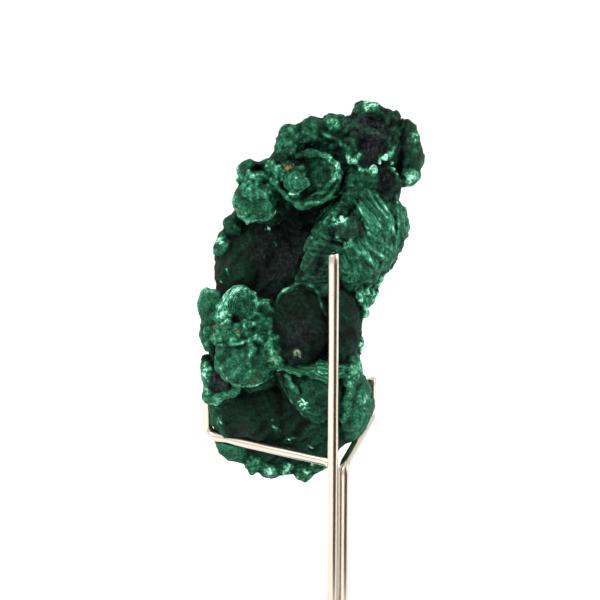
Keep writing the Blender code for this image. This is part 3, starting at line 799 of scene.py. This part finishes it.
def surface_net(field, axes):
    """The field's zero surface as points and four-sided faces, one point in each crossed cell."""
    inside = field < 0
    step = axes[0][1] - axes[0][0]
    cells = [size - 1 for size in field.shape]
    count = np.zeros(cells, dtype=np.int8)
    for corner in CORNERS:
        count += inside[tuple(slice(c, c + n) for c, n in zip(corner, cells))]
    active = np.argwhere((count > 0) & (count < 8))
    number = np.full(cells, -1, dtype=np.int64)
    number[tuple(active.T)] = np.arange(len(active))
    values = [field[tuple((active + corner).T)] for corner in CORNERS]
    total = np.zeros((len(active), 3))
    crossings = np.zeros(len(active))
    for first, second in CELL_EDGES:
        crossed = (values[first] < 0) != (values[second] < 0)
        share = values[first] / np.where(crossed, values[first] - values[second], 1.0)
        start = np.array(CORNERS[first], dtype=float)
        run = np.array(CORNERS[second], dtype=float) - start
        total += np.where(crossed[:, None], start + share[:, None] * run, 0.0)
        crossings += crossed
    low = np.array([coordinates[0] for coordinates in axes])
    points = low + (active + total / crossings[:, None]) * step
    faces = []
    for axis in range(3):
        second, third = (axis + 1) % 3, (axis + 2) % 3
        near = [slice(1, -1)] * 3
        near[axis] = slice(0, -1)
        far = list(near)
        far[axis] = slice(1, None)
        leaves = inside[tuple(near)] & ~inside[tuple(far)]
        enters = ~inside[tuple(near)] & inside[tuple(far)]
        for found, backwards in ((leaves, False), (enters, True)):
            at = np.argwhere(found)
            at[:, second] += 1
            at[:, third] += 1
            around = []
            for shift_second, shift_third in ((1, 1), (0, 1), (0, 0), (1, 0)):
                cell = at.copy()
                cell[:, second] -= shift_second
                cell[:, third] -= shift_third
                around.append(number[tuple(cell.T)])
            if backwards:
                around.reverse()
            faces.append(np.stack(around, axis=1))
    return points, np.concatenate(faces)


def largest_piece(points, faces):
    """Only the largest connected surface, without loose crumbs or sealed bubbles."""
    label = np.arange(len(points))
    while True:
        lowest = label[faces].min(axis=1)
        fresh = label.copy()
        for side in range(4):
            np.minimum.at(fresh, faces[:, side], lowest)
        fresh = fresh[fresh]
        if (fresh == label).all():
            break
        label = fresh
    names, sizes = np.unique(label, return_counts=True)
    keep = label == names[sizes.argmax()]
    renumber = np.cumsum(keep) - 1
    return points[keep], renumber[faces[keep[faces[:, 0]]]]


# Patches on the skin: x, y, z, radius and strength
# Pale mint patches: partly the stone's own pale green, partly painted highlights such as the bright cap
# on the fan's knob and on the crown's top
MINT_AND_HIGHLIGHT_SPOTS = [
    (6.7, -14, 12.8, 0.8, 1.5), (7.8, -14.2, 13, 0.9, 1.7), (16, -10.7, 24.9, 0.8, 0.6),
    (13, -11.4, 34.6, 1.3, 1), (14.2, -11.4, 34.9, 0.9, 0.9), (21.6, -8.8, 28.6, 1, 0.8),
    (22, -8.4, 26.6, 0.8, 0.6), (21, -8.8, 21.2, 1.4, 0.5), (6.2, -10.8, 31.6, 1, 0.5),
    (8.2, -10, 31.4, 0.8, 0.4), (5, -12, 24.6, 1, 0.4), (6.4, -12, 22.6, 1.1, 0.8),
    (6.9, -12, 21, 0.8, 0.6), (-14.4, -5.2, -5.4, 1.4, 0.45), (-11.6, -6, -0.6, 1.2, 0.3),
    (-15.4, -2.4, 9.6, 0.8, 0.8), (-18.4, -1.8, -16, 1.2, 0.3), (9.2, -13, 8.4, 0.8, 0.6),
    (-6.4, 9.4, -36.4, 0.9, 0.6), (-2.2, 9.2, -35.6, 0.9, 0.5), (1.6, 9.2, -36.2, 0.9, 0.5),
    (-8.6, 9.4, -34, 0.8, 0.4), (12.2, -4.4, -20.6, 1.2, 0.35),
]
RUST = [
    (-3, -11, 23.2, 0.3, 0.8), (-2.4, -11, 22.9, 0.4, 1), (-1.8, -11, 23.1, 0.35, 1),
    (-1.2, -11, 23.5, 0.25, 0.8), (-16, -3.6, -6.9, 0.6, 0.35), (-14.4, -4.6, -7, 0.4, 0.3),
    (-12, -6.4, -7.8, 0.4, 0.8), (-4.9, -9, -12.8, 1, 0.1), (-8.6, -7.4, -17.3, 1.2, 0.1),
]
# Greyish patches: a painted sheen on the velvet, the fan's knob and the crown
GREY_SHEEN_SPOTS = [
    (8.2, -13.8, 11.2, 1.8, 0.9), (10.6, -13, 11.4, 1.2, 0.8), (11, -11, 30.8, 2.6, 0.9),
    (14.2, -11.4, 29.4, 2.6, 0.9), (13.6, -10, 26.4, 2.8, 0.7), (16.2, -10, 20.6, 1.8, 0.6),
    (-15.4, -2, -17.6, 2.2, 0.9), (0, -12, -8, 3.6, 0.3), (4.6, -12, 22.2, 1, 0.6),
    (20.4, -8, 28, 1.6, 0.5), (11, -4, -22.4, 2.4, 0.35), (-13.4, 8.6, -31, 3.4, 0.5),
    (0, -10, 19.8, 2, 0.2), (-3, -6, 7, 7, 0.4),
]
CREAM = [(-0.5, -9, -11.9, 0.6, 1), (-0.1, -9, -12.5, 0.4, 1)]


def patches(points, spots):
    """How strongly the spots colour each point; they reach far in depth and have ragged edges."""
    amount = np.zeros(len(points))
    for x, y, z, radius, strength in spots:
        away = np.hypot(np.hypot(points[:, 0] - x, points[:, 2] - z), 0.15 * (points[:, 1] - y))
        edge = radius * (1.0 + 0.45 * soft_noise(points, 0.7, salt=31))
        amount = np.maximum(amount, strength * np.clip(1.7 - 1.3 * away / edge, 0.0, 1.0))
    return amount


# Reach and offset (mm) of the painted shade in hollows
COVER_REACH = 1.5
COVER_AHEAD = 1.2


def hollow_shade_of(field, axes, points, normals):
    """How much stone stands close in front of each point: 0.2 in the open, 1 in a deep hollow. The
    material darkens by it, a painted shade in hollows and under overhangs.
    """
    step = axes[0][1] - axes[0][0]
    reach = int(round(COVER_REACH / step))
    solid = (field < 0).astype(np.float32)
    for axis in range(3):
        total = np.cumsum(solid, axis=axis)
        upper = np.roll(total, -reach, axis=axis)
        lower = np.roll(total, reach + 1, axis=axis)
        solid = (upper - lower) / (2 * reach + 1)
    low = np.array([coordinates[0] for coordinates in axes])
    place = np.rint((points + COVER_AHEAD * normals - low) / step).astype(int)
    place = np.clip(place, reach + 1, np.array(solid.shape) - reach - 2)
    return np.clip(solid[tuple(place.T)], 0.0, 1.0)


class Net:
    """Which points of a mesh of four-sided faces are neighbours."""

    def __init__(self, faces, count):
        pairs = np.concatenate([faces[:, [side, (side + 1) % 4]] for side in range(4)])
        self.pairs = np.unique(np.sort(pairs, axis=1), axis=0)
        self.degree = np.bincount(self.pairs.ravel(), minlength=count).astype(float)

    def mean(self, values):
        """The mean of each point's neighbours."""
        total = np.zeros_like(values)
        np.add.at(total, self.pairs[:, 0], values[self.pairs[:, 1]])
        np.add.at(total, self.pairs[:, 1], values[self.pairs[:, 0]])
        return total / (self.degree if values.ndim == 1 else self.degree[:, None])

    def smoothed(self, values):
        for _ in range(2):
            values = (values + self.mean(values)) / 2
        return values


def add_layer(mesh, name, values):
    """A number or a vector at each point of the mesh, for its material."""
    kind, key = ("FLOAT", "value") if np.ndim(values) == 1 else ("FLOAT_VECTOR", "vector")
    layer = mesh.attributes.new(name, kind, "POINT")
    layer.data.foreach_set(key, np.asarray(values, dtype=np.float32).ravel())


def add_object(name, mesh, material):
    thing = bpy.data.objects.new(name, mesh)
    bpy.context.scene.collection.objects.link(thing)
    mesh.materials.append(material)
    return thing


CREASE_WIDTH = 0.7
RIM_START = 0.90
BANDS_START = 0.35
FULL_CURVE = 0.14


def build_stone(name, step, side, material):
    """One half of the stone, with what its material needs to know at each point."""
    field, axes = grown_field(step, side)
    points, faces = largest_piece(*surface_net(field, axes))
    place = warped(points)
    owner, crease_shade = owners_of(place)
    _, crest, ray = skin_of(points, owner)
    net = Net(faces, len(points))

    mesh = bpy.data.meshes.new(name)
    mesh.from_pydata(to_world(points).tolist(), [], faces.tolist())
    mesh.update()
    normals = np.empty(len(points) * 3)
    mesh.vertices.foreach_get("normal", normals)
    normals = normals.reshape(-1, 3) @ np.array(STONE_TURN)
    # how far each point stands out from its neighbours; convex edges are painted lighter and dips
    # darker by it, a painted sheen and shade
    swing = net.smoothed(((points - net.mean(points)) * normals).sum(axis=1))
    rim = np.zeros(len(points))
    ring = np.zeros(len(points))
    banded = np.zeros(len(points))
    for number, shape in enumerate(GROWN):
        mine = np.flatnonzero(owner == number)
        if len(mine) and (shape.rim > 0 or shape.bands > 0):
            out = shape.out_at(place[mine])
            rim[mine] = shape.rim * np.clip((out - RIM_START) / 0.10, 0.0, 1.0)
            ring[mine] = out * shape.reach
            banded[mine] = shape.bands * np.clip((out - BANDS_START) / 0.3, 0.0, 1.0)
    skins = np.array([shape.skin for shape in GROWN])[owner]
    # the painted rim lines show only on surfaces that face the front
    facing = np.clip(-normals[:, 1] * 2.0 + 0.6, 0.0, 1.0)
    layers = {
        "tone": net.smoothed(np.array([shape.tone for shape in GROWN])[owner]),
        # painted shade: darker along the creases where two shapes meet
        "crease_shade": np.clip(1.0 - crease_shade / CREASE_WIDTH, 0.0, 1.0),
        # painted sheen: lighter bands at the outlines and lines along rims and folds; the pale fibre
        # tufts among the lines are the stone's own colour
        "rim": np.maximum(rim, vein_field(points)[1] * facing),
        # painted shade: darker where stone stands close in front
        "hollow_shade": net.smoothed(hollow_shade_of(field, axes, points, normals)),
        "curvature_light": np.clip(swing / (FULL_CURVE * step), -1.0, 1.0),
        # the fine relief's height: its crests are painted lighter and its dips darker, partly speckle
        # and partly painted light and shade
        "crest": crest,
        "streaky": skins == "fibrous",
        "speckled": np.isin(skins, ("speckled", "crust")),
        "ring": ring,
        "banded": banded,
        "mint_and_highlight": patches(points, MINT_AND_HIGHLIGHT_SPOTS),
        "rust": patches(points, RUST),
        "grey_sheen": patches(points, GREY_SHEEN_SPOTS),
        "cream": patches(points, CREAM),
        "ray": ray,
    }
    for layer, values in layers.items():
        add_layer(mesh, layer, values)

    mesh.shade_smooth()
    print("stone:", name, len(points), "points", len(faces), "faces")
    return add_object(name, mesh, material)


# ---------------------------------------------------------------- materials

class Value:
    """A node's output that adds, subtracts and multiplies like a number."""

    def __init__(self, nodes, socket):
        self.nodes = nodes
        self.socket = socket

    def __add__(self, other):
        return self.nodes.math("ADD", self, other)

    def __sub__(self, other):
        return self.nodes.math("SUBTRACT", self, other)

    def __rsub__(self, other):
        return self.nodes.math("SUBTRACT", other, self)

    def __mul__(self, other):
        return self.nodes.math("MULTIPLY", self, other)

    def clamped(self):
        self.socket.node.use_clamp = True
        return self


class Nodes:
    """A short way to write a material's nodes."""

    def __init__(self, name):
        self.material = bpy.data.materials.new(name)
        self.material.use_nodes = True
        self.tree = self.material.node_tree
        self.shader = self.tree.nodes["Principled BSDF"]

    def add(self, kind, inputs=(), **settings):
        """A node with its settings; its inputs are numbers, colours or other nodes' outputs."""
        node = self.tree.nodes.new(kind)
        for key, value in settings.items():
            setattr(node, key, value)
        for key, value in dict(inputs).items():
            self.put(value, node.inputs[key])
        return node

    def put(self, value, target):
        if isinstance(value, (int, float, tuple)):
            colour = isinstance(value, tuple) and target.type == "RGBA"
            target.default_value = (*value, 1.0) if colour else value
        else:
            self.tree.links.new(getattr(value, "socket", value), target)

    def shade(self, **inputs):
        """The shader's inputs, named with _ in place of each space."""
        for name, value in inputs.items():
            self.put(value, self.shader.inputs[name.replace("_", " ")])

    def place(self):
        return self.add("ShaderNodeTexCoord").outputs["Object"]

    def attribute(self, name):
        return Value(self, self.add("ShaderNodeAttribute", attribute_name=name).outputs["Fac"])

    def direction(self, name):
        return self.add("ShaderNodeAttribute", attribute_name=name).outputs["Vector"]

    def math(self, operation, first, second=0.5):
        node = self.add("ShaderNodeMath", {0: first, 1: second}, operation=operation)
        return Value(self, node.outputs[0])

    def noise(self, vector, scale, detail=3.0, roughness=0.55):
        node = self.add("ShaderNodeTexNoise", {"Scale": scale, "Detail": detail,
                                               "Roughness": roughness, "Vector": vector})
        return Value(self, node.outputs["Fac"])

    def voronoi(self, vector, scale):
        """The distance to the middle of the nearest cell, and that cell's random colour."""
        node = self.add("ShaderNodeTexVoronoi", {"Scale": scale, "Vector": vector})
        return Value(self, node.outputs["Distance"]), node.outputs["Color"]

    def red(self, colour):
        return Value(self, self.add("ShaderNodeSeparateColor", {0: colour}).outputs[0])

    def ramp(self, value, stops):
        node = self.add("ShaderNodeValToRGB", {"Fac": value})
        elements = node.color_ramp.elements
        while len(elements) < len(stops):
            elements.new(0.5)
        for element, (place, colour) in zip(elements, stops):
            element.position = place
            element.color = (*colour, 1.0)
        return node.outputs["Color"]

    def mix(self, share, first, second, blend="MIX"):
        node = self.add("ShaderNodeMix", data_type="RGBA", blend_type=blend)
        for number, value in ((0, share), (6, first), (7, second)):
            self.put(value, node.inputs[number])
        return node.outputs[2]

    def warped(self, vector, wander, amount):
        """The position moved about by a noise, so that spots lose their round outline."""
        shift = self.add("ShaderNodeCombineXYZ", {0: wander, 1: wander, 2: wander})
        node = self.add("ShaderNodeVectorMath", operation="MULTIPLY_ADD")
        for number, value in enumerate((shift.outputs[0], (amount, -amount, amount), vector)):
            self.put(value, node.inputs[number])
        return node.outputs[0]

    def bump(self, height, strength, distance):
        node = self.add("ShaderNodeBump", {"Strength": strength, "Distance": distance,
                                           "Height": height})
        self.shade(Normal=node.outputs["Normal"])


def malachite_material():
    n = Nodes("fibrous_malachite")
    place = n.place()
    mottle = n.noise(place, 420.0, 4.0)
    fine = n.noise(place, 1500.0, 4.0, 0.65)
    grain = n.noise(place, 3400.0, 2.0, 0.6)
    streak = n.noise(n.direction("ray"), 42.0, 5.0, 0.78)
    cell, _ = n.voronoi(place, 1300.0)
    tone = n.attribute("tone")
    streaky = n.attribute("streaky")
    speckle = (mottle - 0.5) * 0.60 + (fine - 0.5) * 1.25 + (grain - 0.5) * 1.0
    # painted light and shade: lighter on the relief's crests and convex edges, darker in its dips
    speckle = speckle + n.attribute("crest") * 0.8 + n.attribute("curvature_light") * 0.22
    speckle = speckle * (1.0 - streaky * 0.6)
    speckle = speckle + ((streak - 0.5) * 2.4 * streaky + (streak - 0.5) * 0.45)
    speckle = speckle + (cell - 0.45) * -0.5 * n.attribute("speckled")
    # the lighter the skin, the stronger its speckle
    value = tone + speckle * (tone * 1.05 + 0.20)
    # painted sheen along the rims and thin lines, together with the pale fibre tufts
    value = value + n.attribute("rim") * (fine + 0.3)
    rings = n.math("SINE", n.attribute("ring") * 11.0)
    value = value + rings * (n.attribute("banded") * 0.14)
    # painted shade in hollows and under overhangs
    value = value - (n.attribute("hollow_shade") - 0.30) * 0.42
    # painted shade in the creases between lobes
    value = value - n.attribute("crease_shade") * 0.10
    # small pale tufts scattered over the dark skins
    flake, random_colour = n.voronoi(n.warped(place, fine, 0.0007), 640.0)
    chosen = n.math("GREATER_THAN", n.red(random_colour), 0.93)
    tuft = ((flake - 0.30) * -2.6 * chosen).clamped()
    value = value + tuft * (fine + 0.1)
    # pale mint patches, partly real pale green and partly painted highlight
    mint_and_highlight = (n.attribute("mint_and_highlight") * ((fine - 0.5) * 3.0 + 0.55)).clamped()
    value = (value + mint_and_highlight * 0.8).clamped()
    green = n.ramp(value, [
        (0.0, (0.0005, 0.0012, 0.0009)),
        (0.15, (0.0014, 0.0055, 0.0032)),
        (0.32, (0.0036, 0.0215, 0.0112)),
        (0.52, (0.0085, 0.0660, 0.0315)),
        (0.72, (0.0310, 0.1700, 0.0880)),
        (0.88, (0.1250, 0.3900, 0.2500)),
        (1.0, (0.3800, 0.7000, 0.5700)),
    ])
    # painted greyish sheen, mixed in over the grey patches
    grey_sheen_colour = n.ramp(fine, [
        (0.36, (0.003, 0.005, 0.005)),
        (0.52, (0.020, 0.024, 0.026)),
        (0.70, (0.090, 0.100, 0.105)),
    ])
    ragged = (fine - 0.40) * 5.0
    grey_sheen = (n.attribute("grey_sheen") * (0.75 - value)).clamped()
    rust = (n.attribute("rust") * ragged).clamped()
    cream = (n.attribute("cream") * ragged).clamped()
    colour = n.mix(grey_sheen, green, grey_sheen_colour)
    colour = n.mix(rust, colour, (0.33, 0.16, 0.06))
    colour = n.mix(cream, colour, (0.30, 0.42, 0.26))
    n.shade(Base_Color=colour, Roughness=mottle * 0.3 + 0.40, Specular_IOR_Level=0.05,
            Sheen_Weight=0.008, Sheen_Roughness=0.35, Sheen_Tint=(0.35, 0.80, 0.60))
    n.bump(streak * 0.5 + (fine + grain * 0.5), 0.9, 0.0003)
    return n.material


def rounded_route(corners, radius, steps=8):
    """A route's corner points with an arc in place of each inner corner."""
    route = [corners[0]]
    for before, corner, after in zip(corners, corners[1:], corners[2:]):
        entering = (before - corner).normalized()
        leaving = (after - corner).normalized()
        half = entering.angle(leaving) / 2
        middle = corner + (entering + leaving).normalized() * radius / math.sin(half)
        start = corner + entering * radius / math.tan(half) - middle
        end = corner + leaving * radius / math.tan(half) - middle
        for step in range(steps + 1):
            route.append(middle + start.slerp(end, step / steps).normalized() * radius)
    route.append(corners[-1])
    return route


def spaced(route, gap):
    """The route with long straight runs divided, so that marks on the wire have points to sit on."""
    points = [route[0]]
    for start, end in zip(route, route[1:]):
        parts = max(1, round((end - start).length / gap))
        points += [start.lerp(end, part / parts) for part in range(1, parts + 1)]
    return points


WIRE_SIDES = 32
TIP_SCALE = 0.90
TIP_LENGTH = 0.82
TIP_ROUGHNESS = 0.05 * MM


def build_wire(name, corners, slant, material):
    """A round wire along its route; its last end is cut rough and a little slanted."""
    sides = WIRE_SIDES
    points = spaced(rounded_route(corners, BEND_RADIUS), 1.0 * MM)
    across = Vector((1.0, 0.0, 0.0))
    vertices, faces, run, along = [], [], [], 0.0
    for number, point in enumerate(points):
        ahead = points[min(number + 1, len(points) - 1)] - points[max(number - 1, 0)]
        ahead.normalize()
        across = (across - ahead * across.dot(ahead)).normalized()
        beside = ahead.cross(across)
        along += (point - points[max(number - 1, 0)]).length
        last = number == len(points) - 1
        radius = WIRE_RADIUS * (TIP_SCALE if last else 1.0)
        for side in range(sides):
            angle = math.tau * side / sides
            away = across * math.cos(angle) + beside * math.sin(angle)
            rough = slant * math.cos(angle) + TIP_ROUGHNESS * math.sin(angle * 5.0)
            shift = ahead * rough if number >= len(points) - 2 else Vector()
            if number == len(points) - 2:
                shift = shift + ahead * TIP_LENGTH * (points[-1] - points[-2]).length
            vertices.append(point + away * radius + shift)
            run.append((math.cos(angle), math.sin(angle), along / WIRE_RADIUS))
    for ring in range(len(points) - 1):
        for side in range(sides):
            following = (side + 1) % sides
            first = ring * sides
            faces.append((first + side, first + following,
                          first + sides + following, first + sides + side))
    for ring, flip in ((0, True), (len(points) - 1, False)):
        loop = [ring * sides + side for side in range(sides)]
        faces.append(tuple(reversed(loop)) if flip else tuple(loop))
    mesh = bpy.data.meshes.new(name)
    mesh.from_pydata([tuple(vertex) for vertex in vertices], [], faces)
    mesh.shade_smooth()
    mesh.polygons[-1].use_smooth = False
    mesh.polygons[-2].use_smooth = False
    add_layer(mesh, "run", run)
    return add_object(name, mesh, material)


def wire_material():
    n = Nodes("drawn_nickel_wire")
    stretch = n.add("ShaderNodeMapping", {"Scale": (9.0, 9.0, 0.12), "Vector": n.direction("run")})
    drawn = n.noise(stretch.outputs["Vector"], 1.0, 4.0, 0.6)
    spots = n.noise(n.place(), 420.0, 4.0, 0.65)
    clouds = n.noise(n.place(), 90.0, 2.0)
    colour = n.ramp(spots * 0.8 + clouds * 0.2, [
        (0.0, (0.64, 0.57, 0.48)),
        (0.66, (0.60, 0.53, 0.44)),
        (0.73, (0.34, 0.27, 0.20)),
        (1.0, (0.20, 0.15, 0.11)),
    ])
    lines = n.ramp(drawn, [(0.35, (0.86, 0.86, 0.86)), (0.65, (1.0, 1.0, 1.0))])
    n.shade(Base_Color=n.mix(1.0, colour, lines, "MULTIPLY"), Metallic=1.0,
            Roughness=drawn * 0.20 + 0.12)
    n.bump(drawn, 0.25, 0.00003)
    return n.material


def lacquer_material():
    n = Nodes("black_lacquer")
    grain = n.noise(n.place(), 1500.0)
    colour = n.ramp(grain, [(0.3, (0.010, 0.010, 0.011)), (0.7, (0.018, 0.018, 0.019))])
    n.shade(Base_Color=colour, Roughness=grain * 0.15 + 0.30, Specular_IOR_Level=0.25,
            Coat_Weight=0.1)
    n.bump(grain, 0.2, 0.00004)
    return n.material


# ---------------------------------------------------------------- studio

FLOOR_SIZE = 6.0
DAYLIGHT = 1.12
CARD_DISTANCE = 40.0 * MM
CARD_SIDE = 38.0 * MM
CARD_SIZE = (76.0 * MM, 110.0 * MM, 1.0)
CARD_HEIGHT = 48.0 * MM
# Name, place (m), size (m) and power (W) of each lamp
LAMPS = [("key", (-0.35, -0.30, 0.45), 0.25, 3.5), ("fill", (0.40, -0.15, 0.20), 0.2, 1.2)]


def build_studio():
    bpy.ops.mesh.primitive_plane_add(size=FLOOR_SIZE, location=(0.0, FLOOR_SIZE / 4, CAD_LOW[2]))
    floor = bpy.context.object
    floor.name = "studio_floor"
    n = Nodes("studio_white")
    n.shade(Base_Color=(0.95, 0.95, 0.95), Roughness=0.9)
    floor.data.materials.append(n.material)

    world = bpy.data.worlds.new("studio")
    bpy.context.scene.world = world
    world.use_nodes = True
    background = world.node_tree.nodes["Background"]
    background.inputs["Color"].default_value = (1.0, 1.0, 1.0, 1.0)
    background.inputs["Strength"].default_value = DAYLIGHT

    # a dark card that only glossy surfaces see, to give the wires an edge line
    bpy.ops.mesh.primitive_plane_add(size=1.0)
    card = bpy.context.object
    card.name = "dark_card"
    card.scale = CARD_SIZE
    card.rotation_euler = (math.radians(90.0), 0.0, math.atan2(CARD_SIDE, CARD_DISTANCE))
    card.location = (POST_X + CARD_SIDE, POST_Y - CARD_DISTANCE, CARD_HEIGHT)
    n = Nodes("dark_card")
    n.shade(Base_Color=(0.08, 0.055, 0.038), Specular_IOR_Level=0.0)
    card.data.materials.append(n.material)
    for rays in ("camera", "diffuse", "shadow", "transmission", "volume_scatter"):
        setattr(card, "visible_" + rays, False)

    for name, place, size, power in LAMPS:
        light = bpy.data.lights.new(name, "AREA")
        light.shape = "SQUARE"
        light.size = size
        light.energy = power
        lamp = bpy.data.objects.new(name, light)
        bpy.context.scene.collection.objects.link(lamp)
        lamp.location = place
        lamp.rotation_euler = (CAMERA_TARGET - Vector(place)).to_track_quat("-Z", "Y").to_euler()
        lamp.visible_camera = False
    bpy.context.scene.view_settings.view_transform = "Standard"


def build_camera():
    camera = bpy.data.cameras.new("camera")
    camera.sensor_width = SENSOR_WIDTH
    camera.lens = SENSOR_WIDTH * CAMERA_DISTANCE / VIEW_WIDTH
    camera.clip_start = 0.01
    holder = bpy.data.objects.new("camera", camera)
    bpy.context.scene.collection.objects.link(holder)
    forward = Vector((0.0, math.cos(LEAN), -math.sin(LEAN)))
    holder.location = CAMERA_TARGET - forward * CAMERA_DISTANCE
    holder.rotation_euler = forward.to_track_quat("-Z", "Y").to_euler()
    bpy.context.scene.camera = holder


build_camera()
build_studio()
malachite = malachite_material()
for name, step, side in (("malachite_front", FRONT_STEP, -1), ("malachite_back", BACK_STEP, 1)):
    stone = build_stone(name, step, side, malachite)
    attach(stone, "root")
    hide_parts("malachite_specimen")

nickel = wire_material()
for node, corners in wire_routes().items():
    slant = 0.16 * MM if node == "back_post" else 0.04 * MM
    wire = build_wire(node + "_wire", corners, slant, nickel)
    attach(wire, "root")
    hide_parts(node)
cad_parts["stand_base"].material_slots[0].material = lacquer_material()
